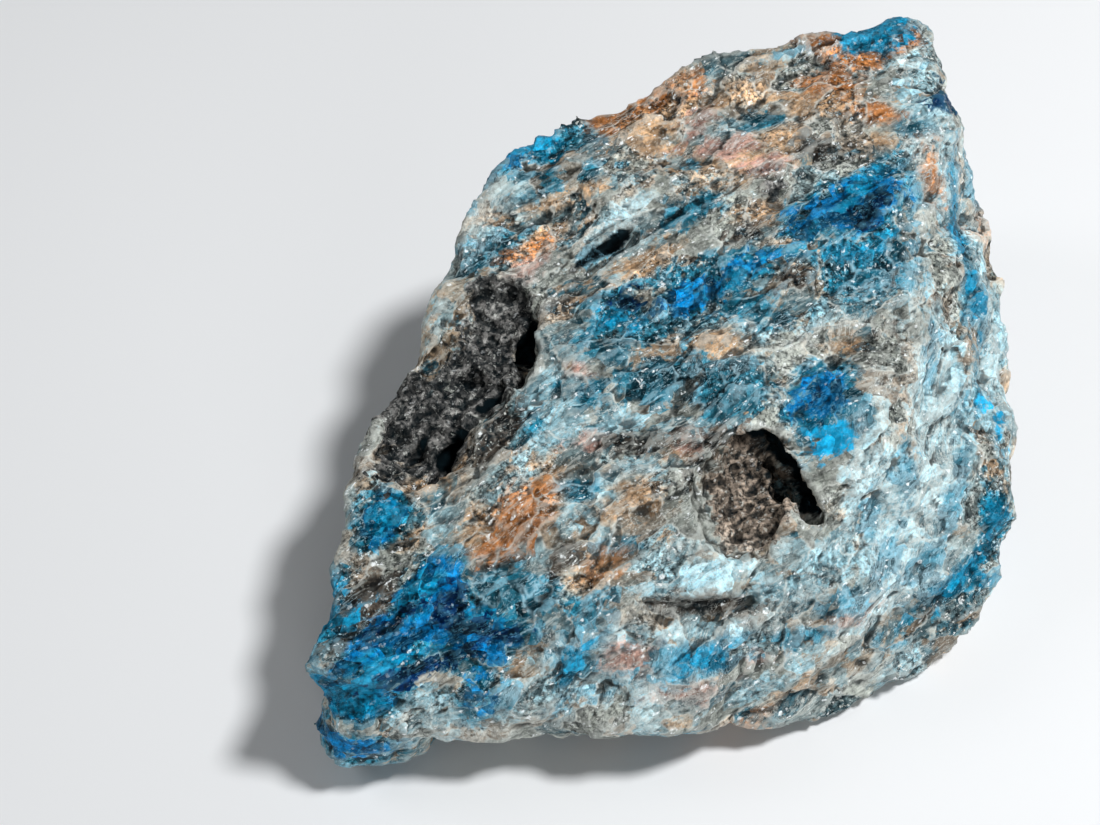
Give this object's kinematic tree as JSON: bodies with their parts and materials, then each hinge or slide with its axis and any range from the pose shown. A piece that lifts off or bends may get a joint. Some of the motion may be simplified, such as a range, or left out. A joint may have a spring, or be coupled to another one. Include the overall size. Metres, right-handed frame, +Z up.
{
  "type": "rough apatite stone",
  "caption": "Rough broken lump of blue apatite in grey-green and rusty matrix, wedge shaped, with dark granular hollows, lying on a flat fracture.",
  "frame": {"origin": "middle of the stone's bounding box, on the table that it rests on", "axes": "+Z up, away from the table; +Y from the low front edge towards the tall back; +X to the right as seen from the front"},
  "size_m": [0.0838, 0.091, 0.0361],
  "materials": {
    "apatite": "rough broken crystal, vitreous to greasy"
  },
  "bodies": {
    "root": {"apatite": "apatite"}
  },
  "joints": []
}
